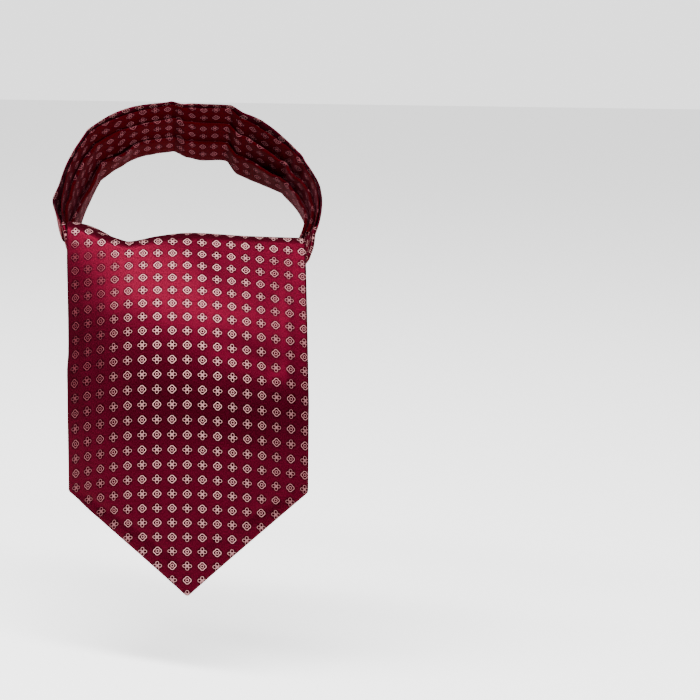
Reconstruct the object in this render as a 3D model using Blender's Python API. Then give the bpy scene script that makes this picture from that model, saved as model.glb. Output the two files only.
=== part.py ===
"""An ascot tie as it stands when it is worn, with no wearer in it.

The pleated neckband rings the throat and rises to the back. Its two ends cross in front, the long end
turns round the short one, comes up behind it and rolls over the top to fall as the broad front blade.
Every stretch is a wall of cloth: a grid laid on a surface worked out from the sizes below, then
thickened. Sizes are in millimetres and turned into metres when a grid is made.

+Z is up, +X is the viewer's right and the tie faces -Y. The origin is the middle of the throat, where
the axis of the neck crosses the plane of the neckband's lower edge.
"""

from math import cos, exp, pi, radians, sin

import bmesh
import bpy
from mathutils import Vector

for old in list(bpy.data.objects):
    bpy.data.objects.remove(old)

MM = 0.001

# The cloth
PITCH = 8.8
LEFT_EDGE = -8.7
RIGHT_EDGE = 8.3
BLADE_WALL = 1.5
LEAF_WALL = 1.0
STRAND_WALL = 2.4
SEAM = 0.3

# The neckband's plane rises to the back by this angle
NECK_TILT = radians(36)
NECK_UP = Vector((0, -sin(NECK_TILT), cos(NECK_TILT)))
NECK_BACK = Vector((0, cos(NECK_TILT), sin(NECK_TILT)))

# Neckband, by the angle round the neck from the nape, viewer's left negative. Radii and heights are
# those of the lower edge, the two pleat folds and the rim; gape is how far the outer leaf stands off.
NECKBAND = (
    # angle, low_radius, low_height, low_fold, high_fold, rim_radius, rim_height, gape
    (-124, 85.0, -9.0, 9.0, 20.0, 91.0, 29.5, 0.0),
    (-112, 81.5, -10.0, 9.0, 20.0, 86.5, 28.5, 2.0),
    (-103, 77.2, -10.5, 9.0, 19.5, 83.5, 26.5, 3.5),
    (-95, 72.4, -9.5, 8.5, 20.0, 80.5, 28.0, 1.0),
    (-80, 69.3, -8.5, 7.5, 23.0, 77.0, 31.5, 0.0),
    (-63, 66.0, -1.0, 14.0, 29.0, 71.5, 39.0, 0.0),
    (-38, 59.5, 5.0, 18.0, 31.0, 64.0, 40.5, 3.0),
    (-12, 54.8, 4.0, 17.0, 31.5, 57.9, 41.5, 0.4),
    (5, 55.0, -2.5, 14.0, 28.5, 58.0, 39.5, 1.8),
    (22, 55.9, -1.5, 14.5, 28.5, 59.3, 41.0, 0.4),
    (32, 58.2, -9.5, 8.0, 23.5, 62.2, 36.0, 3.0),
    (44, 60.9, -12.0, 6.0, 20.5, 65.5, 31.5, 3.8),
    (63, 66.0, -10.5, 4.5, 14.0, 72.3, 25.5, 0.2),
    (80, 71.0, -10.3, 4.5, 13.0, 77.5, 21.5, 0.0),
    (92, 74.0, -9.0, 6.5, 14.0, 80.0, 23.5, 0.0),
    (103, 74.8, -2.0, 9.0, 15.5, 82.3, 24.0, 0.0),
    (118, 75.5, 4.0, 10.5, 16.0, 86.0, 22.0, 0.0),
)
# Where the folded band was pressed, it turns a little more sharply
PRESS_CREASES = (
    # angle, depth, spread_before, spread_after
    (-63, 1.4, 4.0, 4.0),
    (-12, 2.6, 5.0, 3.0),
    (24, 2.6, 5.0, 3.5),
    (63, 1.6, 4.0, 3.0),
)
# How far each pleat's top fold leans in from the cloth behind it, which leaves a dark gap
PLEAT_GAPE = (
    # angle, low_gape, high_gape
    (-124, 0.5, 0.3),
    (-103, 1.5, 0.5),
    (-88, 2.5, 0.8),
    (-76, 3.5, 1.0),
    (-66, 2.0, 1.2),
    (-60, 1.0, 1.0),
    (-53, 4.5, 0.8),
    (-46, 4.0, 0.6),
    (-38, 1.0, 1.2),
    (-12, 0.4, 0.8),
    (22, 0.3, 0.3),
    (34, 1.0, 0.8),
    (44, 2.0, 2.2),
    (54, 4.0, 2.0),
    (62, 3.5, 1.0),
    (69, 1.5, 3.0),
    (76, 2.5, 1.5),
    (86, 3.0, 0.8),
    (98, 1.5, 0.5),
    (118, 0.3, 0.3),
)
GAPE_CURVE = 1.5
POCKET = 5.0
STEP_SOFTNESS = 0.7
TIER_STEP = 1.5
BAND_START = -119
BAND_END = 117
BAND_STEPS = 46
OUTER_RISE = 0.8
TUCK_DROP = 3.2

# Front blade, by rows of the woven repeat: how far the cloth leans back from upright
BLADE_LEAN = (
    # row, lean
    (-14, 43),
    (-7, 42),
    (-5, 40),
    (-3, 33),
    (-1, 26),
    (2, 18),
    (5, 5),
    (8, 0),
    (17, 0),
)
# How far the cloth has turned away from facing front, by columns of the woven repeat
BLADE_TURN = (
    # column, turn
    (-9, -36),
    (-6, -29),
    (-4, -18),
    (-2, -8),
    (0, -2),
    (2, 6),
    (4, 10),
    (6, 12),
    (9, 14),
)
# How much of that turn each row has: the roll at the top is straight, the middle is fully rounded
BLADE_ROUND = (
    # row, share
    (-14, 0.3),
    (-11, 0.36),
    (-8, 0.56),
    (-5, 0.83),
    (-2, 1.0),
    (1, 1.0),
    (7, 1.08),
    (12, 0.95),
    (17, 0.75),
)
BLADE_CENTRE = Vector((-3.0, -125.1, -75.4))
BLADE_DROOP = radians(33)
BLADE_SLANT = 0.045
TIP_ROW = 16.2
LEFT_CUT = 0.93
RIGHT_CUT = 0.965
# The roll over the knot: the row where the cloth starts to turn over, broadly at first over its brow
ROLL_START = (
    # column, row, brow_radius
    (-9, -10.3, 12.0),
    (-7.5, -9.85, 13.0),
    (-6, -9.05, 12.0),
    (-5, -8.65, 11.0),
    (-4, -8.4, 10.0),
    (-2, -8.75, 12.0),
    (0, -9.1, 12.0),
    (4, -9.35, 9.0),
    (9, -9.75, 8.0),
)
BROW_TURN = radians(40)
ROLL_TURN = radians(150)
ROLL_RADIUS = 4.0
ROLL_TAIL = 7.0
ROLL_GATHER = 0.18
GATHER_FROM = radians(60)
ROLL_SHARE = 0.3

# The hidden stretches, by their low and high edges. The wings start at the neckband's two ends.
STRAND_COLUMNS = ((1, 2, 3), (4, 5, 6))
LEFT_WING = (
    # place, low_x, low_y, low_z, high_x, high_y, high_z
    (1, -58, -54, -46, -72, -66, -22),
    (2, -45, -71, -59, -53, -79, -28),
    (3, -30, -83, -67, -36, -86, -33),
)
CROSSING_WRAP = (
    # place, low_x, low_y, low_z, high_x, high_y, high_z
    (0, -29.3, -83.4, -67.1, -35.3, -86.4, -33),
    (1, -8, -98, -77, 0, -94, -34),
    (2, 14, -105, -89, 34, -96, -47),
    (3, 40, -99, -99, 53, -88, -62),
    (4, 54, -82, -101, 61, -72, -65),
    (5, 44, -62, -92, 57, -56, -58),
    (6, 19, -53, -76, 50, -51, -47),
)
RIGHT_WING = (
    # place, low_x, low_y, low_z, high_x, high_y, high_z
    (1, 63, -50, -36, 71, -62, -22),
    (2, 54, -64, -52, 44, -74, -28),
    (3, 44, -73, -60, 12, -79, -42),
    (4, 36, -77, -66, -6, -77, -66),
)
RISING_END = (
    # place, low_x, low_y, low_z, high_x, high_y, high_z
    (0, 18.3, -52.3, -75.0, 49.4, -50.4, -45.9),
    (1, -8, -49, -57, 54, -51, -36),
    (2, -44, -53, -36, 60, -54, -28),
    (3, -66, -57, -20, 63, -58, -22),
)
STRAND_WAVES = 3
STRAND_WAVE = 1.6
STRAND_SEAM = 0.95
RISE_SEAM = 2.0
EDGE_STEP = 0.05

# The short end hanging behind the front blade, by height
UNDER_BLADE = (
    # height, centre_x, centre_y, half_width, wave
    (-190, -3, -112, 60, 0.6),
    (-145, -3, -103, 60, 1.0),
    (-125, -2, -95, 53, 1.8),
    (-105, 2, -86, 38, 2.6),
    (-85, 9, -80, 25, 3.0),
    (-66.5, 15, -77, 21, 3.0),
)
UNDER_TOP = -67.0
UNDER_TIP = -190
UNDER_CUT = 0.95
UNDER_BOW = 13
UNDER_WAVES = 3


def read(table, column, at):
    """The column's value where the table's first column is at, on a smooth curve through the rows."""
    last = len(table) - 1
    at = min(max(at, table[0][0]), table[last][0])
    row = 0
    while row < last - 1 and at > table[row + 1][0]:
        row += 1

    def slope(index):
        before = max(index - 1, 0)
        after = min(index + 1, last)
        return (table[after][column] - table[before][column]) / (table[after][0] - table[before][0])

    start = table[row]
    end = table[row + 1]
    span = end[0] - start[0]
    part = (at - start[0]) / span
    rise = part * part * (3 - 2 * part)
    leave = part * (1 - part) ** 2 * span * slope(row)
    arrive = part * part * (1 - part) * span * slope(row + 1)
    return start[column] * (1 - rise) + end[column] * rise + leave - arrive


def running_sum(table, kind, start, end, scale):
    """Steps along the cloth added up, each turned by the table's angle: a function of the position."""
    steps = 240
    width = (end - start) / steps
    sums = [0.0]
    for step in range(steps):
        middle = start + (step + 0.5) * width
        sums.append(sums[-1] + kind(radians(read(table, 1, middle))) * width * scale)

    def value(at):
        place = min(max((at - start) / width, 0), steps - 1e-6)
        whole = int(place)
        return sums[whole] + (sums[whole + 1] - sums[whole]) * (place - whole)

    zero = value(0)
    return lambda at: value(at) - zero


blade_forward = running_sum(BLADE_LEAN, sin, -14, 17, PITCH)
blade_down = running_sum(BLADE_LEAN, cos, -14, 17, PITCH)
blade_aside = running_sum(BLADE_TURN, cos, -9, 9, PITCH)
blade_behind = running_sum(BLADE_TURN, sin, -9, 9, PITCH)


def fabric(name, colour, roughness):
    material = bpy.data.materials.new(name)
    material.use_nodes = True
    shader = material.node_tree.nodes["Principled BSDF"]
    shader.inputs["Base Color"].default_value = (*colour, 1)
    shader.inputs["Roughness"].default_value = roughness
    shader.inputs["Metallic"].default_value = 0
    return material


def make_sheet(name, across, along, place, wall, material):
    """A grid of cloth whose points go where place(u, v) says, both from 0 to 1, thickened to its wall."""
    shape = bmesh.new()
    bmesh.ops.create_grid(shape, x_segments=across, y_segments=along, size=0.5)
    for vertex in shape.verts:
        vertex.co = place(vertex.co.x + 0.5, vertex.co.y + 0.5) * MM
    mesh = bpy.data.meshes.new(name)
    shape.to_mesh(mesh)
    shape.free()
    mesh.materials.append(material)
    sheet = bpy.data.objects.new(name, mesh)
    bpy.context.scene.collection.objects.link(sheet)
    thicken = sheet.modifiers.new("Wall", "SOLIDIFY")
    thicken.thickness = wall * MM
    thicken.offset = 0
    mesh.shade_smooth()
    return sheet


def round_neck(angle, radius, height):
    """The point at this angle round the neck, radius from its axis and height above the lower plane."""
    turned = radians(angle)
    return Vector((radius * sin(turned), 0, 0)) + NECK_BACK * (radius * cos(turned)) + NECK_UP * height


def press(angle):
    """How far a pressed crease pushes the band outwards."""
    outward = 0
    for crease, depth, before, after in PRESS_CREASES:
        spread = before if angle < crease else after
        outward += depth * exp(-abs(angle - crease) / spread)
    return outward


def band_radius(angle, height):
    """The radius of the band's inner face: it opens a little from the lower edge to the rim."""
    low = read(NECKBAND, 1, angle)
    rim = read(NECKBAND, 5, angle) - 4 * TIER_STEP
    low_height = read(NECKBAND, 2, angle)
    rim_height = read(NECKBAND, 6, angle)
    part = (height - low_height) / (rim_height - low_height)
    return low + (rim - low) * part + press(angle)


def pocket_depth(below, fold):
    """How far the cloth behind a pleat's fold goes back down."""
    return min(POCKET, 0.5 * (fold - below))


def pleated_path(low, low_fold, high_fold, rim, low_gape, high_gape):
    """The pleated leaf's section as (outward, height): three tiers, each top fold over the next tier."""
    turn = TIER_STEP / 2
    path = []
    outward = 0
    foot = low

    def add(across, height, base, fold, gape):
        lean = min(max((height - base) / (fold - base), 0), 1) ** GAPE_CURVE
        path.append((outward + across - gape * lean, height))

    for share in (0, 1 / 3, 2 / 3):
        add(0, low + (low_fold - low) * share, low, low_fold, low_gape)
    for fold, following, gape in ((low_fold, high_fold, low_gape), (high_fold, rim, high_gape)):
        bottom = fold - pocket_depth(low, fold)
        for step in range(5):
            angle = pi - step * pi / 4
            base = foot if step < 3 else bottom
            add(turn + turn * cos(angle), fold - turn + turn * sin(angle), base, fold - turn, gape)
        for step in range(5):
            angle = pi + step * pi / 4
            add(3 * turn + turn * cos(angle), bottom + turn * sin(angle), bottom, fold, 0)
        outward += 2 * TIER_STEP
        following_gape = high_gape if fold == low_fold else 0
        add(0, (fold + following) / 2, fold, following, following_gape)
        low = foot = fold
    path.append((outward, rim))
    return path


PATH_POINTS = len(pleated_path(0, 15, 30, 42, 0, 0))


def pleated_leaf(u, v):
    """The inner leaf of the neckband, with u up the folded section and v round the neck."""
    angle = BAND_START + (BAND_END - BAND_START) * v
    heights = [read(NECKBAND, column, angle) for column in (2, 3, 4, 6)]
    gapes = [read(PLEAT_GAPE, column, angle) for column in (1, 2)]
    path = pleated_path(*heights, *gapes)
    outward, height = path[round(u * (PATH_POINTS - 1))]
    return round_neck(angle, band_radius(angle, height) + outward, height)


def outer_leaf(u, v):
    """The outer leaf: it steps outwards over each tuck and stands off a little at the rim."""
    angle = BAND_START + (BAND_END - BAND_START) * v
    low, low_fold, high_fold, rim = (read(NECKBAND, column, angle) for column in (2, 3, 4, 6))
    height = low + OUTER_RISE * u + (rim - low) * u
    outward = TIER_STEP + 2 * SEAM
    for below, fold in ((low, low_fold), (low_fold, high_fold)):
        tuck = fold - pocket_depth(below, fold) - TUCK_DROP
        outward += 2 * TIER_STEP / (1 + exp(-(height - tuck) / STEP_SOFTNESS))
    outward += read(NECKBAND, 7, angle) * u ** 3
    return round_neck(angle, band_radius(angle, height) + outward, height)


def blade_point(column, row):
    """A point of the front blade, by column and row of the woven repeat."""
    share = read(BLADE_ROUND, 1, row)
    flat = column * PITCH
    aside = flat - (flat - blade_aside(column)) * (1 + share ** 2) / 2
    behind = blade_behind(column) * share
    return BLADE_CENTRE + Vector(
        (
            aside,
            -blade_forward(row) + behind * cos(BLADE_DROOP),
            -blade_down(row) - behind * sin(BLADE_DROOP) - BLADE_SLANT * aside,
        )
    )


def blade_column(u):
    """Columns from the left edge to the right, with the tip's column in the middle."""
    return LEFT_EDGE * (1 - 2 * u) if u < 0.5 else RIGHT_EDGE * (2 * u - 1)


def rolled_point(column, along):
    """The blade's point this far along the cloth from where the roll starts; behind it is negative."""
    row = read(ROLL_START, 1, column)
    if along >= 0:
        return blade_point(column, row + along / PITCH)
    left = -along
    heading = radians(read(BLADE_LEAN, 1, row))
    turned = back = up = 0
    for radius, most in ((read(ROLL_START, 2, column), BROW_TURN), (ROLL_RADIUS, ROLL_TURN - BROW_TURN)):
        turn = min(left / radius, most)
        back += radius * (cos(heading) - cos(heading + turn))
        up += radius * (sin(heading + turn) - sin(heading))
        heading += turn
        turned += turn
        left -= radius * turn
    back += left * sin(heading)
    up += left * cos(heading)
    gathered = ROLL_GATHER * max(turned - GATHER_FROM, 0) / (ROLL_TURN - GATHER_FROM)
    return blade_point(column, row) + Vector((-gathered * column * PITCH, back, up))


def tail_length(column):
    """How far along the cloth the blade's hidden end lies behind the start of the roll."""
    rolled = read(ROLL_START, 2, column) * BROW_TURN + ROLL_RADIUS * (ROLL_TURN - BROW_TURN)
    return rolled + ROLL_TAIL


def front_blade(u, v):
    """The broad blade, with v from its tip up to the roll and over it."""
    column = blade_column(u)
    roll_row = read(ROLL_START, 1, column)
    cut = LEFT_CUT if column < 0 else RIGHT_CUT
    length = (TIP_ROW - cut * abs(column) - roll_row) * PITCH
    if v < 1 - ROLL_SHARE:
        return rolled_point(column, length * (1 - v / (1 - ROLL_SHARE)))
    return rolled_point(column, -tail_length(column) * (v - 1 + ROLL_SHARE) / ROLL_SHARE)


def band_end(v):
    """A wing's first row: the neckband's section at its end v, 0 or 1, moved on by a seam."""
    inside = EDGE_STEP if v == 0 else 1 - EDGE_STEP
    low = (pleated_leaf(0, v) + outer_leaf(0, v)) / 2
    high = (pleated_leaf(1, v) + outer_leaf(1, v)) / 2
    ahead = low + high - pleated_leaf(0, inside) - pleated_leaf(1, inside)
    onward = ahead.normalized() * STRAND_SEAM
    return (0, *(low + onward), *(high + onward))


def edges(table, at):
    """The low and the high edge of a hidden stretch at this place along it."""
    return (Vector([read(table, column, at) for column in columns]) for columns in STRAND_COLUMNS)


def strand(table, start_wave=1.0, end_wave=1.0):
    """A gathered stretch between its two edges, with u from the low edge to the high one."""
    last = table[-1][0]

    def place(u, v):
        at = v * last
        low, high = edges(table, at)
        ahead = sum(edges(table, min(at + EDGE_STEP, last)), Vector())
        behind = sum(edges(table, max(at - EDGE_STEP, 0)), Vector())
        normal = (high - low).cross(ahead - behind).normalized()
        wave = STRAND_WAVE * (start_wave + (end_wave - start_wave) * v)
        lift = wave * sin(2 * pi * STRAND_WAVES * u) * sin(pi * u) ** 0.5
        return low.lerp(high, u) + normal * lift

    return place


ruled_rise = strand(RISING_END, 1.0, 0.0)


def rising_end(u, v):
    """The long end behind the crossing: it opens out until its top meets the rolled edge."""
    column = blade_column(u)
    tail = rolled_point(column, -tail_length(column) - RISE_SEAM)
    share = v * v * (3 - 2 * v)
    return ruled_rise(u, v) + (tail - ruled_rise(u, 1)) * share


def under_blade(u, v):
    """The short end, with v from its tip up to the crossing: softly pleated, its sides falling back."""
    side = 2 * u - 1
    end = UNDER_TIP + UNDER_CUT * read(UNDER_BLADE, 3, UNDER_TIP) * abs(side)
    height = end + (UNDER_TOP - end) * v
    values = [read(UNDER_BLADE, column, height) for column in range(1, 5)]
    centre_x, centre_y, half_width, wave = values
    spread = half_width / read(UNDER_BLADE, 3, UNDER_TIP)
    bow = UNDER_BOW * side ** 2 * spread ** 2
    fold = wave * cos(pi * UNDER_WAVES * side)
    return Vector((centre_x + half_width * side, centre_y + bow + fold, height))


satin = fabric("jacquard_satin", (0.24, 0.008, 0.04), 0.35)
band_satin = fabric("pleated_satin", (0.15, 0.004, 0.02), 0.42)

make_sheet("neckband_pleats", PATH_POINTS - 1, BAND_STEPS, pleated_leaf, LEAF_WALL, band_satin)
make_sheet("neckband_outer", 9, BAND_STEPS, outer_leaf, LEAF_WALL, satin)
make_sheet("front_blade", 18, 26, front_blade, BLADE_WALL, satin)
make_sheet("left_wing", 12, 9, strand((band_end(0), *LEFT_WING)), STRAND_WALL, satin)
make_sheet("crossing_wrap", 14, 20, strand(CROSSING_WRAP), STRAND_WALL, satin)
make_sheet("right_wing", 12, 12, strand((band_end(1), *RIGHT_WING), 0.3), STRAND_WALL, satin)
make_sheet("rising_end", 14, 9, rising_end, STRAND_WALL, satin)
make_sheet("under_blade", 22, 16, under_blade, BLADE_WALL, satin)
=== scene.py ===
"""A worn ascot tie with no wearer: burgundy jacquard satin with a small cream repeat, pleated behind the
neck, crossed at the throat and rolled over into one broad pointed blade.

Each piece is a thin shell of cloth on its solid's form, in the solids' frame: metres, +Z up, the tie
facing -Y, the origin in the middle of the throat. Tables are in millimetres and degrees.
"""

from math import cos, exp, hypot, pi, radians, sin

import bmesh
import bpy
from mathutils import Matrix, Vector


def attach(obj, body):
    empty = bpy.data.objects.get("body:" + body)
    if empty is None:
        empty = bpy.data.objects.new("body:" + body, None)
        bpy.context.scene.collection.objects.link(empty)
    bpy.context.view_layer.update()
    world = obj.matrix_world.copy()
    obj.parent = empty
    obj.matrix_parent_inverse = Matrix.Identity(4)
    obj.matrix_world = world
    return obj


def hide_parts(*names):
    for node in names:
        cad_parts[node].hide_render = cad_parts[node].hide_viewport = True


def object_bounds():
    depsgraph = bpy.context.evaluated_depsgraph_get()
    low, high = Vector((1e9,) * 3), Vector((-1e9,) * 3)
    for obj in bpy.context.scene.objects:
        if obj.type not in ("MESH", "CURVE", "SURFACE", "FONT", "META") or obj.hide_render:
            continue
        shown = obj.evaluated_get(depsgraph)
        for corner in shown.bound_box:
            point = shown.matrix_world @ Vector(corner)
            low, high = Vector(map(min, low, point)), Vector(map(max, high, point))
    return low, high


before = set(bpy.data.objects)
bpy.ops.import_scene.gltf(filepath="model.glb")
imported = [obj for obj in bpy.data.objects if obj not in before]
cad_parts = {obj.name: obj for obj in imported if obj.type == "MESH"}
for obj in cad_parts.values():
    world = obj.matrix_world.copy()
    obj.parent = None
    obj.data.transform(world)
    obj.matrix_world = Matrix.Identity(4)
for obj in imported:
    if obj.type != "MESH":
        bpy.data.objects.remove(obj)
solid_low, solid_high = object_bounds()

# Neckband. A strip of the jacquard satin folded double: the inner leaf lies in three tiers, each top fold
# over the next tier, and the outer leaf steps outwards over each tuck. The pleats are pressed and tacked,
# and the folded strip keeps the creases of its box.
MM = 0.001
REPEAT = 8.8

# The motif, in shares of the repeat, from its centre
LOBE_OFFSET = 0.123
LOBE_RADIUS = 0.14
LOBE_LINE = 0.017
RING_RADIUS = 0.097
RING_LINE = 0.013
RING_GAP = 0.149
PETAL_OFFSET = 0.18
PETAL_REACH = 0.112
PETAL_SLIM = 1.06
PETAL_LINE = 0.011
CENTRE_DOT = 0.022
LINE_SOFTNESS = 0.013
DOT_EDGES = (0.01, 0.03)
HALO_RADIUS = 0.35
HALO_SOFTNESS = 0.06
HALO_SHADE = 0.88

CREAM = (0.76, 0.37, 0.37)
# The motif's yarn where shade is painted on it
PAINTED_SHADE_ROSE = (0.17, 0.034, 0.045)
BURGUNDY = (0.076, 0.002, 0.011)
DEEP_BURGUNDY = (0.02, 0.0004, 0.002)
# The pleated leaf's colours in painted shade: darker copies of the burgundy and its grain, for the shade
# inside the neckband
SHADED_BURGUNDY = (0.042, 0.0003, 0.0014)
SHADED_NEAR_BLACK = (0.007, 0.0, 0.0002)
HALO_RED = (0.012, 0.0, 0.002)
EDGE_RED = (0.75, 0.09, 0.16, 1)
SHEEN_PINK = (1.0, 0.22, 0.38, 1)

# The threads, in the repeat: slubs drawn out along the weft, cloudy dyeing, the twill's ribs and the floats
SLUB_SCALE = (16, 9, 1)
SLUB_DETAIL = 3
SLUB_DARK = 0.66
SLUB_LIGHT = 0.34
MOTTLE_SCALE = 0.9
MOTTLE_DETAIL = 4
TWILL_RIBS = 22
FLOAT_ROWS = 26
FLOAT_DEPTH = 0.08
GRAIN_SHARE = 0.75
MOTIF_LUSTRE = 0.15
MOTIF_ROUGHNESS = 0.14
SLUB_ROUGHNESS = 0.08
GLEAM = 0.16
SHEEN = 0.03
SHEEN_ROUGHNESS = 0.45
TWILL_RELIEF = 0.05
MOTIF_RELIEF = 0.5
SLUB_RELIEF = 0.35
RELIEF_STRENGTH = 0.5
RELIEF_DEPTH = 0.00012


def jacquard(name, ground, shade, roughness, lustre):
    """Burgundy satin with the woven repeat, laid by the Cloth map: one unit is one repeat."""
    material = bpy.data.materials.new(name)
    material.use_nodes = True
    nodes = material.node_tree.nodes
    links = material.node_tree.links
    shader = nodes["Principled BSDF"]

    def join(socket, value):
        if isinstance(value, (int, float)):
            socket.default_value = value
        else:
            links.new(value, socket)

    def sums(operation, first, second=0.0, third=0.0):
        node = nodes.new("ShaderNodeMath")
        node.operation = operation
        join(node.inputs[0], first)
        join(node.inputs[1], second)
        join(node.inputs[2], third)
        return node.outputs[0]

    def within(value, low, high):
        """1 below low and 0 above high, with a soft edge between them."""
        node = nodes.new("ShaderNodeMapRange")
        node.interpolation_type = "SMOOTHSTEP"
        join(node.inputs["Value"], value)
        join(node.inputs["From Min"], low)
        join(node.inputs["From Max"], high)
        node.inputs["To Min"].default_value = 1
        node.inputs["To Max"].default_value = 0
        return node.outputs[0]

    def line(distance, half_width, softness=LINE_SOFTNESS):
        return within(sums("ABSOLUTE", distance), half_width - softness, half_width + softness)

    def blend(factor, first, second):
        node = nodes.new("ShaderNodeMix")
        node.data_type = "RGBA"
        join(node.inputs["Factor"], factor)
        for socket, colour in ((node.inputs["A"], first), (node.inputs["B"], second)):
            if isinstance(colour, tuple):
                socket.default_value = (*colour, 1)
            else:
                links.new(colour, socket)
        return node.outputs["Result"]

    cloth = nodes.new("ShaderNodeUVMap")
    cloth.uv_map = "Cloth"
    place = nodes.new("ShaderNodeSeparateXYZ")
    links.new(cloth.outputs[0], place.inputs[0])
    column, row = place.outputs[0], place.outputs[1]

    # Distances from the nearest motif's centre, folded into one eighth of it
    near = []
    for at in (column, row):
        within_repeat = sums("FRACT", sums("ADD", at, 0.5))
        near.append(sums("ABSOLUTE", sums("SUBTRACT", within_repeat, 0.5)))
    far_axis = sums("MAXIMUM", *near)
    near_axis = sums("MINIMUM", *near)
    radius = sums("SQRT", sums("ADD", sums("POWER", near[0], 2), sums("POWER", near[1], 2)))
    odd = sums("ADD", sums("FLOOR", sums("ADD", column, 0.5)), sums("FLOOR", sums("ADD", row, 0.5)))
    odd = sums("GREATER_THAN", sums("FRACT", sums("MULTIPLY", odd, 0.5)), 0.25)

    # Rosette: four lobes round a ring
    reach = sums("SUBTRACT", far_axis, LOBE_OFFSET)
    reach = sums("SQRT", sums("ADD", sums("POWER", reach, 2), sums("POWER", near_axis, 2)))
    rosette = line(sums("SUBTRACT", reach, LOBE_RADIUS), LOBE_LINE)
    rosette = sums("MULTIPLY", rosette, sums("GREATER_THAN", radius, RING_GAP))
    rosette = sums("MAXIMUM", rosette, line(sums("SUBTRACT", radius, RING_RADIUS), RING_LINE))

    # Clover: four open petals and a bright centre
    reach = sums("SUBTRACT", far_axis, PETAL_OFFSET)
    beside = sums("MULTIPLY", near_axis, PETAL_SLIM)
    reach = sums("SQRT", sums("ADD", sums("POWER", reach, 2), sums("POWER", beside, 2)))
    clover = line(sums("SUBTRACT", reach, PETAL_REACH), PETAL_LINE)
    dot = within(radius, CENTRE_DOT - DOT_EDGES[0], CENTRE_DOT + DOT_EDGES[1])
    clover = sums("MAXIMUM", clover, dot)
    motif = sums("ADD", sums("MULTIPLY", rosette, odd), sums("MULTIPLY", clover, sums("SUBTRACT", 1, odd)))

    # Threads: the satin's fine ribs, slubs along them, and weft floats in the motif
    scaled = nodes.new("ShaderNodeMapping")
    scaled.inputs["Scale"].default_value = SLUB_SCALE
    links.new(cloth.outputs[0], scaled.inputs[0])
    slub = nodes.new("ShaderNodeTexNoise")
    slub.inputs["Scale"].default_value = 1
    slub.inputs["Detail"].default_value = SLUB_DETAIL
    links.new(scaled.outputs[0], slub.inputs["Vector"])
    mottle = nodes.new("ShaderNodeTexNoise")
    mottle.inputs["Scale"].default_value = MOTTLE_SCALE
    mottle.inputs["Detail"].default_value = MOTTLE_DETAIL
    links.new(cloth.outputs[0], mottle.inputs["Vector"])
    twill = sums("SINE", sums("MULTIPLY", sums("ADD", column, row), 2 * pi * TWILL_RIBS))
    floats = sums("SINE", sums("MULTIPLY", row, 2 * pi * FLOAT_ROWS))

    # Colour: the ground, darker round the motif, and the motif's yarn, painted duller by the vertex
    # attribute: painted shade, standing in for the lighting on the turned and shaded cloth
    painted_shade = nodes.new("ShaderNodeAttribute")
    painted_shade.attribute_name = "Fade"
    yarn = blend(painted_shade.outputs["Fac"], CREAM, PAINTED_SHADE_ROSE)
    yarn = blend(sums("MULTIPLY_ADD", floats, FLOAT_DEPTH, FLOAT_DEPTH), yarn, ground)
    grain = within(slub.outputs["Fac"], SLUB_DARK, SLUB_LIGHT)
    clouds = sums("MULTIPLY", mottle.outputs["Fac"], 1 - GRAIN_SHARE)
    dyed = blend(sums("MULTIPLY_ADD", grain, GRAIN_SHARE, clouds), shade, ground)
    halo = within(radius, HALO_RADIUS - HALO_SOFTNESS, HALO_RADIUS + HALO_SOFTNESS)
    dyed = blend(sums("MULTIPLY", halo, HALO_SHADE), dyed, HALO_RED)
    links.new(blend(motif, dyed, yarn), shader.inputs["Base Color"])

    # Gloss: the satin's floats shine like metal foil, and the motif's yarn is matt
    dull = sums("MULTIPLY_ADD", motif, MOTIF_ROUGHNESS, roughness)
    dull = sums("MULTIPLY_ADD", slub.outputs["Fac"], SLUB_ROUGHNESS, dull)
    links.new(dull, shader.inputs["Roughness"])
    links.new(sums("MULTIPLY_ADD", motif, MOTIF_LUSTRE - lustre, lustre), shader.inputs["Metallic"])
    shader.inputs["Specular IOR Level"].default_value = GLEAM * lustre
    shader.inputs["Specular Tint"].default_value = EDGE_RED
    shader.inputs["Sheen Weight"].default_value = SHEEN
    shader.inputs["Sheen Roughness"].default_value = SHEEN_ROUGHNESS
    shader.inputs["Sheen Tint"].default_value = SHEEN_PINK

    relief = sums("MULTIPLY_ADD", twill, TWILL_RELIEF, sums("MULTIPLY", motif, MOTIF_RELIEF))
    relief = sums("ADD", relief, sums("MULTIPLY", slub.outputs["Fac"], SLUB_RELIEF))
    bump = nodes.new("ShaderNodeBump")
    bump.inputs["Strength"].default_value = RELIEF_STRENGTH
    bump.inputs["Distance"].default_value = RELIEF_DEPTH
    links.new(relief, bump.inputs["Height"])
    links.new(bump.outputs[0], shader.inputs["Normal"])
    return material


def read(table, column, at):
    """The column's value where the table's first column is at, on a smooth curve through the rows."""
    last = len(table) - 1
    at = min(max(at, table[0][0]), table[last][0])
    row = 0
    while row < last - 1 and at > table[row + 1][0]:
        row += 1

    def slope(index):
        before = max(index - 1, 0)
        after = min(index + 1, last)
        return (table[after][column] - table[before][column]) / (table[after][0] - table[before][0])

    start = table[row]
    end = table[row + 1]
    span = end[0] - start[0]
    part = (at - start[0]) / span
    rise = part * part * (3 - 2 * part)
    leave = part * (1 - part) ** 2 * span * slope(row)
    arrive = part * part * (1 - part) * span * slope(row + 1)
    return start[column] * (1 - rise) + end[column] * rise + leave - arrive


SMOOTHING = 1


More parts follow.
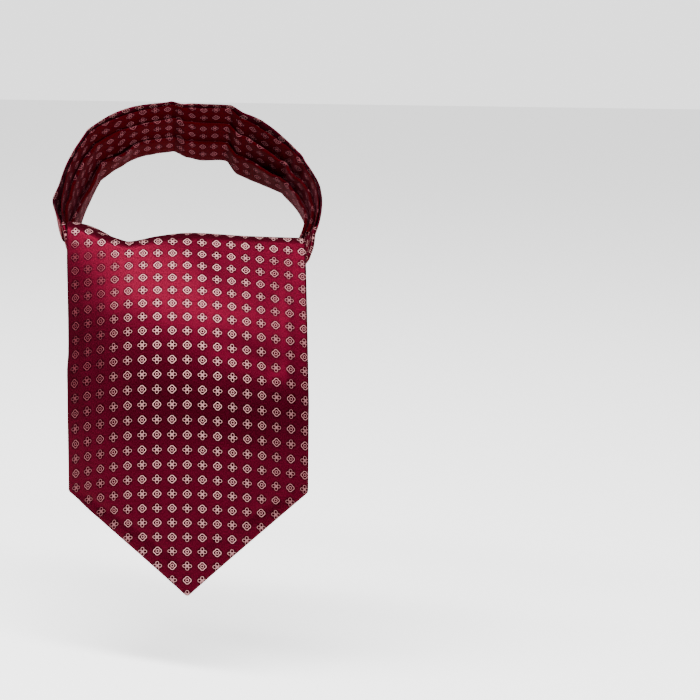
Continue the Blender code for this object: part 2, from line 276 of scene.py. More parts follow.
def lay_cloth(name, place, wall, material, across, along):
    """A shell of cloth: place(u, v) gives each point in mm, its column, its row and how much shade is painted
    on its motif.
    """
    shape = bmesh.new()
    bmesh.ops.create_grid(shape, x_segments=across, y_segments=along, size=0.5)
    cloth = shape.loops.layers.uv.new("Cloth")
    painted_shade = shape.verts.layers.float.new("Fade")
    for vertex in shape.verts:
        point, column, row, painted_shading = place(vertex.co.x + 0.5, vertex.co.y + 0.5)
        vertex.co = point * MM
        vertex[painted_shade] = painted_shading
        for loop in vertex.link_loops:
            loop[cloth].uv = (column, row)
    mesh = bpy.data.meshes.new(name)
    shape.to_mesh(mesh)
    shape.free()
    mesh.materials.append(material)
    mesh.shade_smooth()
    piece = bpy.data.objects.new(name, mesh)
    bpy.context.scene.collection.objects.link(piece)
    thicken = piece.modifiers.new("Wall", "SOLIDIFY")
    thicken.thickness = wall * MM
    thicken.offset = 0
    round_edges = piece.modifiers.new("Round edges", "SUBSURF")
    round_edges.levels = SMOOTHING
    round_edges.render_levels = SMOOTHING
    return piece


CREASE_STEP = 0.004


def creased(place, creases):
    """The same place with a soft ridge, or a trough where it is negative, along each crease of a table."""

    def raised(column, row):
        lift = 0
        for from_column, from_row, to_column, to_row, width, height in creases:
            run_column = to_column - from_column
            run_row = to_row - from_row
            length = hypot(run_column, run_row)
            along = ((column - from_column) * run_column + (row - from_row) * run_row) / length ** 2
            off = ((column - from_column) * run_row - (row - from_row) * run_column) / length * REPEAT
            end = min(max(1 - abs(2 * along - 1) ** 3, 0), 1)
            lift += height * exp(-(off / width) ** 2) * end
        return lift

    def moved(u, v):
        point, column, row, painted_shading = place(u, v)
        lift = raised(column, row)
        across = place(min(u + CREASE_STEP, 1), v)[0] - place(max(u - CREASE_STEP, 0), v)[0]
        upward = place(u, min(v + CREASE_STEP, 1))[0] - place(u, max(v - CREASE_STEP, 0))[0]
        return point + across.cross(upward).normalized() * lift, column, row, painted_shading

    return moved


NECK_TILT = radians(36)
NECK_UP = Vector((0, -sin(NECK_TILT), cos(NECK_TILT)))
NECK_BACK = Vector((0, cos(NECK_TILT), sin(NECK_TILT)))
NECKBAND = (
    # angle, low_radius, low_height, low_fold, high_fold, rim_radius, rim_height, gape
    (-124, 85.0, -9.0, 9.0, 20.0, 91.0, 29.5, 0.0),
    (-112, 81.5, -10.0, 9.0, 20.0, 86.5, 28.5, 2.0),
    (-103, 77.2, -10.5, 9.0, 19.5, 83.5, 26.5, 3.5),
    (-95, 72.4, -9.5, 8.5, 20.0, 80.5, 28.0, 1.0),
    (-80, 69.3, -8.5, 7.5, 23.0, 77.0, 31.5, 0.0),
    (-63, 66.0, -1.0, 14.0, 29.0, 71.5, 39.0, 0.0),
    (-38, 59.5, 5.0, 18.0, 31.0, 64.0, 40.5, 3.0),
    (-12, 54.8, 4.0, 17.0, 31.5, 57.9, 41.5, 0.4),
    (5, 55.0, -2.5, 14.0, 28.5, 58.0, 39.5, 1.8),
    (22, 55.9, -1.5, 14.5, 28.5, 59.3, 41.0, 0.4),
    (32, 58.2, -9.5, 8.0, 23.5, 62.2, 36.0, 3.0),
    (44, 60.9, -12.0, 6.0, 20.5, 65.5, 31.5, 3.8),
    (63, 66.0, -10.5, 4.5, 14.0, 72.3, 25.5, 0.2),
    (80, 71.0, -10.3, 4.5, 13.0, 77.5, 21.5, 0.0),
    (92, 74.0, -9.0, 6.5, 14.0, 80.0, 23.5, 0.0),
    (103, 74.8, -2.0, 9.0, 15.5, 82.3, 24.0, 0.0),
    (118, 75.5, 4.0, 10.5, 16.0, 86.0, 22.0, 0.0),
)
PRESS_CREASES = (
    # angle, depth, spread_before, spread_after
    (-63, 1.4, 4.0, 4.0),
    (-12, 2.6, 5.0, 3.0),
    (24, 2.6, 5.0, 3.5),
    (63, 1.6, 4.0, 3.0),
)
# How far each pleat's top fold leans in from the cloth behind it, which leaves a dark gap
PLEAT_GAPE = (
    # angle, low_gape, high_gape
    (-124, 0.5, 0.3),
    (-103, 1.5, 0.5),
    (-88, 2.5, 0.8),
    (-76, 3.5, 1.0),
    (-66, 2.0, 1.2),
    (-60, 1.0, 1.0),
    (-53, 4.5, 0.8),
    (-46, 4.0, 0.6),
    (-38, 1.0, 1.2),
    (-12, 0.4, 0.8),
    (22, 0.3, 0.3),
    (34, 1.0, 0.8),
    (44, 2.0, 2.2),
    (54, 4.0, 2.0),
    (62, 3.5, 1.0),
    (69, 1.5, 3.0),
    (76, 2.5, 1.5),
    (86, 3.0, 0.8),
    (98, 1.5, 0.5),
    (118, 0.3, 0.3),
)
GAPE_CURVE = 1.5
# Soft rucks of the worn band, each a ridge outwards, or inwards where its depth is negative
RUCKS = (
    # angle, height, lean, width, reach, depth
    (-106, 8, 0.3, 2.6, 9, 0.7),
    (-97, 18, -0.3, 2.4, 8, -0.8),
    (-72, 24, -0.3, 2.5, 8, 0.8),
    (-48, 6, 0.3, 3.0, 8, -0.8),
    (-27, 12, 0.2, 3.2, 9, -0.7),
    (-5, 18, 0.0, 3.8, 40, -1.4),
    (-2, 33, 0.1, 3.0, 8, 0.6),
    (14, 6, -0.2, 3.0, 8, -0.6),
    (31, 12, 0.0, 3.8, 40, -1.3),
    (38, 27, 0.3, 2.6, 7, 0.8),
    (50, -2, 0.5, 2.5, 8, 0.9),
    (58, 16, 0.4, 2.2, 7, -1.0),
    (69, 18, -0.9, 1.5, 7, -2.2),
    (71.5, 20, -0.9, 2.0, 7, 1.6),
    (81, 5, 0.5, 2.5, 7, 0.9),
    (93, 15, 0.3, 2.2, 7, -0.9),
)
POCKET = 5.0
FOLD_STEPS = 4
STEP_SOFTNESS = 0.7
TIER_STEP = 1.5
TIER_SEAM = 0.6
BAND_START = -119
BAND_END = 117
OUTER_RISE = 0.8
TUCK_DROP = 3.2
LEAF_WALL = 1.0
BAND_RADIUS = 65.0
# The band's woven rows lie closer together than the blade's, by this share
ROW_SQUEEZE = 0.76
# How much shade is painted on the motif of the band's inner and outer leaves
INNER_PAINTED_SHADE = 0.9
OUTER_PAINTED_SHADE = 0.7
BAND_STEPS = 190


def round_neck(angle, radius, height):
    """The point at this angle round the neck, radius from its axis and height above the lower plane."""
    turned = radians(angle)
    return Vector((radius * sin(turned), 0, 0)) + NECK_BACK * (radius * cos(turned)) + NECK_UP * height


def press(angle):
    """How far a pressed crease pushes the band outwards."""
    outward = 0
    for crease, depth, before, after in PRESS_CREASES:
        spread = before if angle < crease else after
        outward += depth * exp(-abs(angle - crease) / spread)
    return outward


def ruck(angle, height):
    """How far the soft rucks push the band outwards at this place."""
    outward = 0
    for middle, level, lean, width, reach, depth in RUCKS:
        off = radians(angle - middle) * BAND_RADIUS - lean * (height - level)
        outward += depth * exp(-(off / width) ** 2 - ((height - level) / reach) ** 2)
    return outward


def band_radius(angle, height):
    """The radius of the band's inner face: it opens a little from the lower edge to the rim."""
    low = read(NECKBAND, 1, angle)
    rim = read(NECKBAND, 5, angle) - 4 * TIER_STEP
    low_height = read(NECKBAND, 2, angle)
    rim_height = read(NECKBAND, 6, angle)
    part = (height - low_height) / (rim_height - low_height)
    return low + (rim - low) * part + press(angle) + ruck(angle, height)


def pocket_depth(below, fold):
    """How far the cloth behind a pleat's fold goes back down."""
    return min(POCKET, 0.5 * (fold - below))


def pleated_path(low, low_fold, high_fold, rim, low_gape, high_gape):
    """The pleated leaf's section as (outward, height): three tiers, each top fold over the next tier."""
    turn = TIER_STEP / 2
    path = []
    outward = 0
    foot = low

    def add(across, height, base, fold, gape):
        lean = min(max((height - base) / (fold - base), 0), 1) ** GAPE_CURVE
        path.append((outward + across - gape * lean, height))

    for share in (0, 1 / 3, 2 / 3):
        add(0, low + (low_fold - low) * share, low, low_fold, low_gape)
    for fold, following, gape in ((low_fold, high_fold, low_gape), (high_fold, rim, high_gape)):
        bottom = fold - pocket_depth(low, fold)
        for step in range(FOLD_STEPS + 1):
            angle = pi - step * pi / FOLD_STEPS
            base = foot if step <= FOLD_STEPS // 2 else bottom
            add(turn + turn * cos(angle), fold - turn + turn * sin(angle), base, fold - turn, gape)
        for step in range(FOLD_STEPS + 1):
            angle = pi + step * pi / FOLD_STEPS
            add(3 * turn + turn * cos(angle), bottom + turn * sin(angle), bottom, fold, 0)
        outward += 2 * TIER_STEP
        following_gape = high_gape if fold == low_fold else 0
        add(0, (fold + following) / 2, fold, following, following_gape)
        low = foot = fold
    path.append((outward, rim))
    return path


# Every section has the same number of points, whatever its folds' heights
PATH_POINTS = len(pleated_path(0, 15, 30, 42, 0, 0))


def along_band(u, v):
    """The angle, the three tiers' heights and the column of the repeat at this place in the band."""
    angle = BAND_START + (BAND_END - BAND_START) * v
    heights = [read(NECKBAND, column, angle) for column in (2, 3, 4, 6)]
    return angle, heights, radians(angle) * BAND_RADIUS / REPEAT


def pleated_leaf(u, v):
    """The inner leaf of the neckband, with u up the folded section and v round the neck."""
    angle, heights, column = along_band(u, v)
    path = pleated_path(*heights, read(PLEAT_GAPE, 1, angle), read(PLEAT_GAPE, 2, angle))
    index = round(u * (PATH_POINTS - 1))
    outward, height = path[index]
    length = sum(hypot(path[at + 1][0] - path[at][0], path[at + 1][1] - path[at][1]) for at in range(index))
    point = round_neck(angle, band_radius(angle, height) + outward, height)
    return point, column, length / REPEAT / ROW_SQUEEZE, INNER_PAINTED_SHADE


def outer_leaf(u, v):
    """The outer leaf: it steps outwards over each tuck and stands off a little at the rim."""
    angle, heights, column = along_band(u, v)
    low, low_fold, high_fold, rim = heights
    height = low + OUTER_RISE * u + (rim - low) * u
    outward = TIER_STEP + TIER_SEAM
    for below, fold in ((low, low_fold), (low_fold, high_fold)):
        tuck = fold - pocket_depth(below, fold) - TUCK_DROP
        outward += 2 * TIER_STEP / (1 + exp(-(height - tuck) / STEP_SOFTNESS))
    outward += read(NECKBAND, 7, angle) * u ** 3
    point = round_neck(angle, band_radius(angle, height) + outward, height)
    return point, column, height / REPEAT / ROW_SQUEEZE, OUTER_PAINTED_SHADE


satin = jacquard("jacquard_satin", BURGUNDY, DEEP_BURGUNDY, roughness=0.37, lustre=0.75)
# The pleated inner leaf is a darker copy of the same satin: painted shade for the shade inside the neckband
shaded_band_satin = jacquard("pleated_satin", SHADED_BURGUNDY, SHADED_NEAR_BLACK, roughness=0.68, lustre=0.25)

path_steps = PATH_POINTS - 1
pleats = lay_cloth("neckband_inner_leaf", pleated_leaf, LEAF_WALL, shaded_band_satin, path_steps, BAND_STEPS)
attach(pleats, "root")
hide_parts("neckband_pleats")

outer = lay_cloth("neckband_outer_leaf", outer_leaf, LEAF_WALL, satin, across=26, along=BAND_STEPS)
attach(outer, "root")
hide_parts("neckband_outer")

# Long end, from the neckband's left end: it gathers towards the throat, passes in front of the short end,
# turns round it and comes up behind, opening out to the blade's full width. One double length of satin
# over its interlining, soft and bunched, with no stitching.
STRAND_WALL = 2.4
STRAND_COLUMNS = ((1, 2, 3), (4, 5, 6))
LEFT_WING = (
    # place, low_x, low_y, low_z, high_x, high_y, high_z
    (1, -58, -54, -46, -72, -66, -22),
    (2, -45, -71, -59, -53, -79, -28),
    (3, -30, -83, -67, -36, -86, -33),
)
CROSSING_WRAP = (
    # place, low_x, low_y, low_z, high_x, high_y, high_z
    (0, -29.3, -83.4, -67.1, -35.3, -86.4, -33),
    (1, -8, -98, -77, 0, -94, -34),
    (2, 14, -105, -89, 34, -96, -47),
    (3, 40, -99, -99, 53, -88, -62),
    (4, 54, -82, -101, 61, -72, -65),
    (5, 44, -62, -92, 57, -56, -58),
    (6, 19, -53, -76, 50, -51, -47),
)
STRAND_WAVES = 3
STRAND_WAVE = 1.6
STRAND_SEAM = -0.8
RISE_SEAM = 2.0
STRAND_REPEATS = 9.0
# How much shade is painted on the motif of the gathered ends
STRAND_PAINTED_SHADE = 0.5
EDGE_STEP = 0.05


def band_end(v):
    """A wing's first row: the neckband's section at its end v, 0 or 1, moved on by a seam."""
    inside = EDGE_STEP if v == 0 else 1 - EDGE_STEP
    low = (pleated_leaf(0, v)[0] + outer_leaf(0, v)[0]) / 2
    high = (pleated_leaf(1, v)[0] + outer_leaf(1, v)[0]) / 2
    ahead = low + high - pleated_leaf(0, inside)[0] - pleated_leaf(1, inside)[0]
    onward = ahead.normalized() * STRAND_SEAM
    return (0, *(low + onward), *(high + onward))


def edges(table, at):
    """The low and the high edge of a hidden stretch at this place along it."""
    return (Vector([read(table, column, at) for column in columns]) for columns in STRAND_COLUMNS)


def strand(table, start_wave=1.0, end_wave=1.0):
    """A gathered stretch between its two edges, with u from the low edge to the high one."""
    last = table[-1][0]
    middles = [sum(edges(table, at), Vector()) / 2 for at in range(last + 1)]
    length = sum((middles[at + 1] - middles[at]).length for at in range(last))

    def place(u, v):
        at = v * last
        low, high = edges(table, at)
        ahead = sum(edges(table, min(at + EDGE_STEP, last)), Vector())
        behind = sum(edges(table, max(at - EDGE_STEP, 0)), Vector())
        normal = (high - low).cross(ahead - behind).normalized()
        wave = STRAND_WAVE * (start_wave + (end_wave - start_wave) * v)
        lift = wave * sin(2 * pi * STRAND_WAVES * u) * sin(pi * u) ** 0.5
        return low.lerp(high, u) + normal * lift, STRAND_REPEATS * u, v * length / REPEAT, STRAND_PAINTED_SHADE

    return place


# Creases, each from one place to another in the columns and rows of the repeat
LEFT_CREASES = (
    # from_column, from_row, to_column, to_row, width, height
    (1.2, 0.0, 2.6, 6.2, 3.0, 0.9),
    (4.2, -0.4, 3.6, 4.8, 2.6, -0.9),
    (6.4, 1.0, 7.2, 6.5, 3.0, 0.8),
)
CROSSING_CREASES = (
    # from_column, from_row, to_column, to_row, width, height
    (1.4, 0.5, 2.4, 8.0, 3.2, 0.9),
    (4.6, 1.0, 4.0, 11.0, 3.0, -0.9),
    (7.2, 0.5, 6.4, 7.0, 3.0, 0.7),
    (2.2, 9.0, 3.4, 16.0, 3.0, -0.8),
    (6.0, 8.5, 6.8, 17.0, 3.4, 0.9),
)
left_cloth = creased(strand((band_end(0), *LEFT_WING)), LEFT_CREASES)
left_wing = lay_cloth("long_end_left", left_cloth, STRAND_WALL, satin, across=30, along=28)
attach(left_wing, "root")
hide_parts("left_wing")

crossing_cloth = creased(strand(CROSSING_WRAP), CROSSING_CREASES)
crossing = lay_cloth("long_end_crossing", crossing_cloth, STRAND_WALL, satin, across=36, along=80)
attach(crossing, "root")
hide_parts("crossing_wrap")

# Short end, from the neckband's right end: it gathers to the throat, passes through the crossing and
# hangs as a smaller pointed blade behind the front one. The same double satin, softly pleated.
RIGHT_WING = (
    # place, low_x, low_y, low_z, high_x, high_y, high_z
    (1, 63, -50, -36, 71, -62, -22),
    (2, 54, -64, -52, 44, -74, -28),
    (3, 44, -73, -60, 12, -79, -42),
    (4, 36, -77, -66, -6, -77, -66),
)
UNDER_BLADE = (
    # height, centre_x, centre_y, half_width, wave
    (-190, -3, -112, 60, 0.6),
    (-145, -3, -103, 60, 1.0),
    (-125, -2, -95, 53, 1.8),
    (-105, 2, -86, 38, 2.6),
    (-85, 9, -80, 25, 3.0),
    (-66.5, 15, -77, 21, 3.0),
)
UNDER_TOP = -67.0
UNDER_TIP = -190
UNDER_CUT = 0.95
UNDER_BOW = 13
UNDER_WAVES = 3
# How much shade is painted on the short blade's motif
UNDER_PAINTED_SHADE = 0.3
BLADE_WALL = 1.5
RIGHT_CREASES = (
    # from_column, from_row, to_column, to_row, width, height
    (1.6, 0.0, 2.8, 7.0, 3.0, 0.9),
    (4.8, 0.4, 4.2, 6.0, 2.6, -0.9),
    (7.0, -0.2, 6.6, 7.5, 3.0, 0.8),
)
SHORT_CREASES = (
    # from_column, from_row, to_column, to_row, width, height
    (-5.6, -7.6, -0.9, -11.9, 4.0, 0.5),
    (1.2, -11.8, 5.4, -8.0, 4.0, 0.5),
    (-2.6, 0.0, -4.4, -6.5, 5.0, -0.9),
    (1.8, 0.0, 2.6, -7.0, 5.0, 0.9),
    (4.6, -1.5, 5.6, -5.6, 4.0, -0.7),
)


def under_blade(u, v):
    """The short end, with v from its tip up to the crossing; its sides fall back and it is softly pleated."""
    side = 2 * u - 1
    full = read(UNDER_BLADE, 3, UNDER_TIP)
    end = UNDER_TIP + UNDER_CUT * full * abs(side)
    height = end + (UNDER_TOP - end) * v
    centre_x, centre_y, half_width, wave = [read(UNDER_BLADE, column, height) for column in range(1, 5)]
    bow = UNDER_BOW * side ** 2 * (half_width / full) ** 2
    fold = wave * cos(pi * UNDER_WAVES * side)
    point = Vector((centre_x + half_width * side, centre_y + bow + fold, height))
    return point, full * side / REPEAT, (UNDER_TOP - height) / REPEAT, UNDER_PAINTED_SHADE


right_cloth = creased(strand((band_end(1), *RIGHT_WING), 0.3), RIGHT_CREASES)
right_wing = lay_cloth("short_end_right", right_cloth, STRAND_WALL, satin, across=30, along=34)
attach(right_wing, "root")
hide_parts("right_wing")

short_cloth = creased(under_blade, SHORT_CREASES)
short_blade = lay_cloth("short_blade", short_cloth, BLADE_WALL, satin, across=60, along=60)
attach(short_blade, "root")
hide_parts("under_blade")

# Front blade, with the long end that rises into it. Behind the crossing the cloth opens out, rolls over
# the top and falls to its point. Both sides and the two 45 degree cuts are folded and slip-stitched over
# the interlining, so the edges are soft and show no thread.
LEFT_EDGE = -8.7
RIGHT_EDGE = 8.3
# How far the cloth leans forward at each row, how far each column turns from facing front, and the share
# of that turn which each row has
BLADE_LEAN = (
    # row, lean
    (-14, 43),
    (-7, 42),
    (-5, 40),
    (-3, 33),
    (-1, 26),
    (2, 18),
    (5, 5),
    (8, 0),
    (17, 0),
)
BLADE_TURN = (
    # column, turn
    (-9, -36),
    (-6, -29),
    (-4, -18),
    (-2, -8),
    (0, -2),
    (2, 6),
    (4, 10),
    (6, 12),
    (9, 14),
)
BLADE_ROUND = (
    # row, share
    (-14, 0.3),
    (-11, 0.36),
    (-8, 0.56),
    (-5, 0.83),
    (-2, 1.0),
    (1, 1.0),
    (7, 1.08),
    (12, 0.95),
    (17, 0.75),
)
BLADE_CENTRE = Vector((-3.0, -125.1, -75.4))
BLADE_DROOP = radians(33)
BLADE_SLANT = 0.045
TIP_ROW = 16.2
LEFT_CUT = 0.93
RIGHT_CUT = 0.965
# The row where each column starts to turn over the knot, broadly at first over the brow, then tightly
ROLL_START = (
    # column, row, brow_radius
    (-9, -10.3, 12.0),
    (-7.5, -9.85, 13.0),
    (-6, -9.05, 12.0),
    (-5, -8.65, 11.0),
    (-4, -8.4, 10.0),
    (-2, -8.75, 12.0),
    (0, -9.1, 12.0),
    (4, -9.35, 9.0),
    (9, -9.75, 8.0),
)
BROW_TURN = radians(40)
ROLL_TURN = radians(150)
ROLL_RADIUS = 4.0
ROLL_TAIL = 7.0
ROLL_GATHER = 0.18
GATHER_FROM = radians(60)
ROLL_SHARE = 0.3
# How much shade is painted on the rising end's motif
RISE_PAINTED_SHADE = 0.4
RISE_ROWS = 5
RISING_END = (
    # place, low_x, low_y, low_z, high_x, high_y, high_z
    (0, 18.3, -52.3, -75.0, 49.4, -50.4, -45.9),
    (1, -8, -49, -57, 54, -51, -36),
    (2, -44, -53, -36, 60, -54, -28),
    (3, -66, -57, -20, 63, -58, -22),
)
# Along both cut hems, just inside the side hems, from the roll's dip and its corners, and a few soft ones
BLADE_CREASES = (
    # from_column, from_row, to_column, to_row, width, height
    (-8.3, -8.1, -3.6, -11.3, 3.0, -1.3),
    (-4.3, -10.8, -0.2, -14.0, 2.8, -1.2),
    (0.7, -12.8, 2.6, -11.6, 2.8, -1.0),
    (3.0, -11.2, 7.2, -8.3, 3.0, -1.2),
    (-7.3, 6.0, -7.2, -7.0, 3.0, 0.3),
    (6.9, 7.0, 6.8, -7.0, 3.0, 0.3),
    (-4.2, 9.4, -5.4, 3.6, 8.0, -0.4),
    (-8.4, 10.2, -6.6, 5.0, 7.0, 0.2),
    (-1.0, 9.2, 1.6, 4.4, 12.0, 0.7),
    (7.9, 9.0, 5.2, 3.2, 8.0, -0.3),
    (1.4, 1.6, 6.6, -0.2, 9.0, -0.8),
    (5.4, -0.6, 8.6, -2.6, 8.0, 0.7),
    (-8.9, 0.8, -7.0, -1.6, 7.0, 0.8),
    (-8.2, -9.4, -6.0, -10.2, 6.0, 0.5),
    (-5.8, -2.4, -1.2, -5.0, 12.0, -0.6),
    (2.0, -4.8, 6.8, -6.6, 11.0, 0.6),
)


SUM_STEPS = 480


def running_sum(table, kind):
    """Steps along the cloth added up, each turned by the table's angle: a function of the position."""
    start = table[0][0]
    width = (table[-1][0] - start) / SUM_STEPS
    sums = [0.0]
    for step in range(SUM_STEPS):
        middle = start + (step + 0.5) * width
        sums.append(sums[-1] + kind(radians(read(table, 1, middle))) * width * REPEAT)

    def value(at):
        place = min(max((at - start) / width, 0), SUM_STEPS - 1e-6)
        whole = int(place)
        return sums[whole] + (sums[whole + 1] - sums[whole]) * (place - whole)

    zero = value(0)
    return lambda at: value(at) - zero


blade_forward = running_sum(BLADE_LEAN, sin)
blade_down = running_sum(BLADE_LEAN, cos)
blade_aside = running_sum(BLADE_TURN, cos)
blade_behind = running_sum(BLADE_TURN, sin)


def blade_point(column, row):
    """A point of the front blade, by column and row of the woven repeat."""
    share = read(BLADE_ROUND, 1, row)
    flat = column * REPEAT
    aside = flat - (flat - blade_aside(column)) * (1 + share ** 2) / 2
    behind = blade_behind(column) * share
    return BLADE_CENTRE + Vector(
        (
            aside,
            -blade_forward(row) + behind * cos(BLADE_DROOP),
            -blade_down(row) - behind * sin(BLADE_DROOP) - BLADE_SLANT * aside,
        )
    )


def blade_column(u):
    """Columns from the left edge to the right, with the tip's column in the middle."""
    return LEFT_EDGE * (1 - 2 * u) if u < 0.5 else RIGHT_EDGE * (2 * u - 1)


def rolled_point(column, along):
    """The blade's point this far along the cloth from where the roll starts; behind it is negative."""
    row = read(ROLL_START, 1, column)
    if along >= 0:
        return blade_point(column, row + along / REPEAT)
    left = -along
    heading = radians(read(BLADE_LEAN, 1, row))
    turned = back = up = 0
    for radius, most in ((read(ROLL_START, 2, column), BROW_TURN), (ROLL_RADIUS, ROLL_TURN - BROW_TURN)):
        turn = min(left / radius, most)
        back += radius * (cos(heading) - cos(heading + turn))
        up += radius * (sin(heading + turn) - sin(heading))
        heading += turn
        turned += turn
        left -= radius * turn
    back += left * sin(heading)
    up += left * cos(heading)
    gathered = ROLL_GATHER * max(turned - GATHER_FROM, 0) / (ROLL_TURN - GATHER_FROM)
    return blade_point(column, row) + Vector((-gathered * column * REPEAT, back, up))


def tail_length(column):
    """How far along the cloth the blade's hidden end lies behind the start of the roll."""
    rolled = read(ROLL_START, 2, column) * BROW_TURN + ROLL_RADIUS * (ROLL_TURN - BROW_TURN)
    return rolled + ROLL_TAIL


# Where shade is painted on the motif, dulling it as the lighting does: beyond these columns, over so many
# more, and by this much at most
LEFT_SHADE_FROM = -2.6
LEFT_SHADE_OVER = 3.4
LEFT_SHADE_LESS = 0.25
SHADE_LESS_BY_ROW = 8
RIGHT_SHADE_FROM = 2.5
RIGHT_SHADE_OVER = 4
RIGHT_SHADE_MOST = 0.6
ROLL_CLEAR = 2
ROLL_SHADE_OVER = 8


def share_of(part, whole):
    """How far part has come towards the whole, from 0 to 1."""
    return min(max(part / whole, 0), 1)


def blade_painted_shade(column, row, below_roll):
    """How much shade is painted on the motif: most towards the left edge, less at the right, not on the roll.
    """
    left = share_of(LEFT_SHADE_FROM - column, LEFT_SHADE_OVER)
    left *= 1 - LEFT_SHADE_LESS * share_of(row, SHADE_LESS_BY_ROW)
    right = RIGHT_SHADE_MOST * share_of(column - RIGHT_SHADE_FROM, RIGHT_SHADE_OVER)
    return max(left, right) * share_of(below_roll - ROLL_CLEAR, ROLL_SHADE_OVER)


def front_blade(u, v):
    """The broad blade, with v from its tip up to the roll and over it."""
    column = blade_column(u)
    roll_row = read(ROLL_START, 1, column)
    cut = LEFT_CUT if column < 0 else RIGHT_CUT
    length = (TIP_ROW - cut * abs(column) - roll_row) * REPEAT
    if v < 1 - ROLL_SHARE:
        along = length * (1 - v / (1 - ROLL_SHARE))
    else:
        along = -tail_length(column) * (v - 1 + ROLL_SHARE) / ROLL_SHARE
    row = roll_row + along / REPEAT
    return rolled_point(column, along), column, -row, blade_painted_shade(column, row, along)


ruled_rise = strand(RISING_END, 1.0, 0.0)


def rising_end(u, v):
    """The long end behind the crossing: it opens out until its top meets the rolled edge."""
    column = blade_column(u)
    back = tail_length(column) + RISE_SEAM
    tail = rolled_point(column, -back)
    share = v * v * (3 - 2 * v)
    point = ruled_rise(u, v)[0] + (tail - ruled_rise(u, 1)[0]) * share
    row = -read(ROLL_START, 1, column) + back / REPEAT + (1 - v) * RISE_ROWS
    return point, column, row, RISE_PAINTED_SHADE


RISE_CREASES = (
    # from_column, from_row, to_column, to_row, width, height
    (-5.6, 17.0, -3.4, 21.5, 4.0, 0.9),
    (-0.8, 16.5, 0.2, 22.0, 4.4, -0.9),
    (4.2, 16.8, 3.0, 21.8, 4.0, 0.9),
)
rising_cloth = creased(rising_end, RISE_CREASES)
rise = lay_cloth("long_end_rising", rising_cloth, STRAND_WALL, satin, across=48, along=40)
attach(rise, "root")
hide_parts("rising_end")

front_cloth = creased(front_blade, BLADE_CREASES)
blade = lay_cloth("front_blade_satin", front_cloth, BLADE_WALL, satin, across=84, along=120)
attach(blade, "root")
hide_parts("front_blade")

# Floor. A plain pale floor well below the tie, which glows a little so that it stays pale far off.
FLOOR_DROP = 0.05
FLOOR_SIZE = 12.0
FLOOR_PALE = (0.9, 0.9, 0.9, 1)
FLOOR_ROUGHNESS = 0.9
FLOOR_GLEAM = 0.1
FLOOR_GLOW = 0.6
FLOOR_SEEN_GLOW = 0.9
WHITE = (1, 1, 1, 1)

shape = bmesh.new()
bmesh.ops.create_grid(shape, x_segments=1, y_segments=1, size=FLOOR_SIZE)
bmesh.ops.translate(shape, verts=shape.verts, vec=(0, 0, solid_low[2] - FLOOR_DROP))
floor_mesh = bpy.data.meshes.new("floor")
shape.to_mesh(floor_mesh)
shape.free()
pale = bpy.data.materials.new("pale_floor")
pale.use_nodes = True
paint = pale.node_tree.nodes["Principled BSDF"]
paint.inputs["Base Color"].default_value = FLOOR_PALE
paint.inputs["Roughness"].default_value = FLOOR_ROUGHNESS
paint.inputs["Specular IOR Level"].default_value = FLOOR_GLEAM
paint.inputs["Emission Color"].default_value = WHITE
floor_seen = pale.node_tree.nodes.new("ShaderNodeLightPath")
glow = pale.node_tree.nodes.new("ShaderNodeMath")
glow.operation = "MULTIPLY_ADD"
glow.inputs[1].default_value = FLOOR_SEEN_GLOW
glow.inputs[2].default_value = FLOOR_GLOW
pale.node_tree.links.new(floor_seen.outputs["Is Camera Ray"], glow.inputs[0])
pale.node_tree.links.new(glow.outputs[0], paint.inputs["Emission Strength"])
floor_mesh.materials.append(pale)
floor = bpy.data.objects.new("floor", floor_mesh)
bpy.context.scene.collection.objects.link(floor)

# Lights. A broad soft one high in front lays the highlight across the satin, a weak one fills the left
# edge, and a narrow spot from the right lights the neckband's inside and leaves one side of each pressed
# crease dark.
SOFT_LIGHTS = (
    # name, place, aim, width, depth, watts
    ("key", (-0.3, -0.7, 1.58), (0, -0.1, -0.04), 3.4, 0.3, 150),
    ("left_side", (-1.5, -1.2, 0.4), (0, -0.08, -0.06), 0.8, 0.8, 5),
)
for name, place, aim, width, depth, watts in SOFT_LIGHTS:
    light = bpy.data.lights.new(name, "AREA")
    light.shape = "RECTANGLE"
    light.size = width
    light.size_y = depth
    light.energy = watts
    lamp = bpy.data.objects.new(name, light)
    lamp.location = place
    lamp.rotation_euler = (Vector(aim) - Vector(place)).to_track_quat("-Z", "Y").to_euler()
    bpy.context.scene.collection.objects.link(lamp)

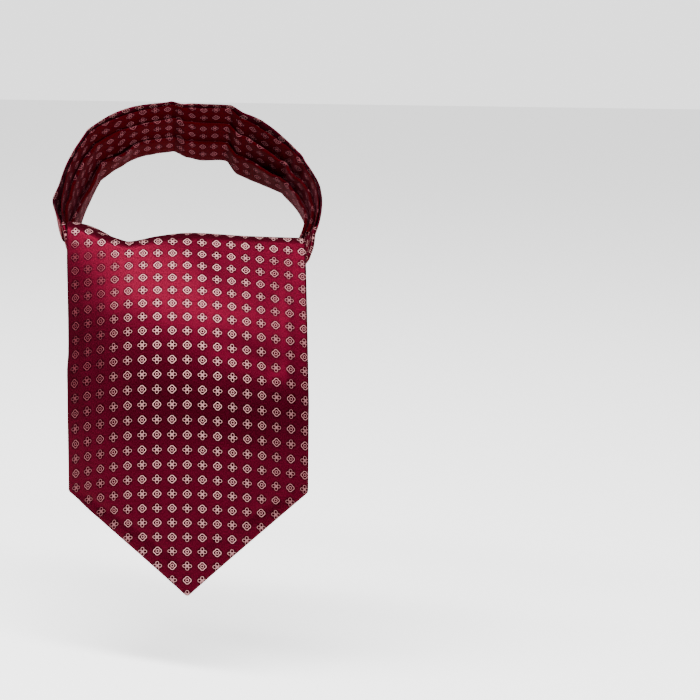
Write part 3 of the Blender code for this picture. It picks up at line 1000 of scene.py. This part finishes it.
SPOT_PLACE = Vector((0.9, -1.0, 0.05))
SPOT_AIM = Vector((-0.02, 0.03, 0.04))
SPOT_WATTS = 175
SPOT_WIDTH = radians(9)
SPOT_BLEND = 1.0
SPOT_RADIUS = 0.08
spot = bpy.data.lights.new("band_side", "SPOT")
spot.energy = SPOT_WATTS
spot.spot_size = SPOT_WIDTH
spot.spot_blend = SPOT_BLEND
spot.shadow_soft_size = SPOT_RADIUS
spot_lamp = bpy.data.objects.new("band_side", spot)
spot_lamp.location = SPOT_PLACE
spot_lamp.rotation_euler = (SPOT_AIM - SPOT_PLACE).to_track_quat("-Z", "Y").to_euler()
bpy.context.scene.collection.objects.link(spot_lamp)

# The studio's walls light the tie softly, and stand far brighter behind it than round it
WALL_LIGHT = 0.15
WALL_SEEN = 2.6
sky = bpy.data.worlds.new("studio")
sky.use_nodes = True
dim = sky.node_tree.nodes["Background"]
dim.inputs["Color"].default_value = WHITE
dim.inputs["Strength"].default_value = WALL_LIGHT
bright = sky.node_tree.nodes.new("ShaderNodeBackground")
bright.inputs["Strength"].default_value = WALL_SEEN
seen = sky.node_tree.nodes.new("ShaderNodeLightPath")
walls = sky.node_tree.nodes.new("ShaderNodeMixShader")
sky.node_tree.links.new(seen.outputs["Is Camera Ray"], walls.inputs[0])
sky.node_tree.links.new(dim.outputs[0], walls.inputs[1])
sky.node_tree.links.new(bright.outputs[0], walls.inputs[2])
sky.node_tree.links.new(walls.outputs[0], sky.node_tree.nodes["World Output"].inputs["Surface"])
bpy.context.scene.world = sky

# Camera, at the photo's viewing angle: 10 degrees down and a little to one side
CAMERA_PLACE = Vector((-0.0025, -1.09275, 0.10109))
CAMERA_DOWN = radians(10)
CAMERA_PAN = radians(5.53)
CAMERA_LENS = 86.0
CAMERA_FILM = 36
camera = bpy.data.objects.new("camera", bpy.data.cameras.new("camera"))
camera.data.lens = CAMERA_LENS
camera.data.sensor_width = CAMERA_FILM
camera.location = CAMERA_PLACE
up = Vector((0, sin(CAMERA_DOWN), cos(CAMERA_DOWN)))
ahead = Vector((sin(CAMERA_PAN), cos(CAMERA_DOWN) * cos(CAMERA_PAN), -sin(CAMERA_DOWN) * cos(CAMERA_PAN)))
right = ahead.cross(up)
camera.rotation_euler = Matrix((right, up, -ahead)).transposed().to_euler()
bpy.context.scene.collection.objects.link(camera)
bpy.context.scene.camera = camera
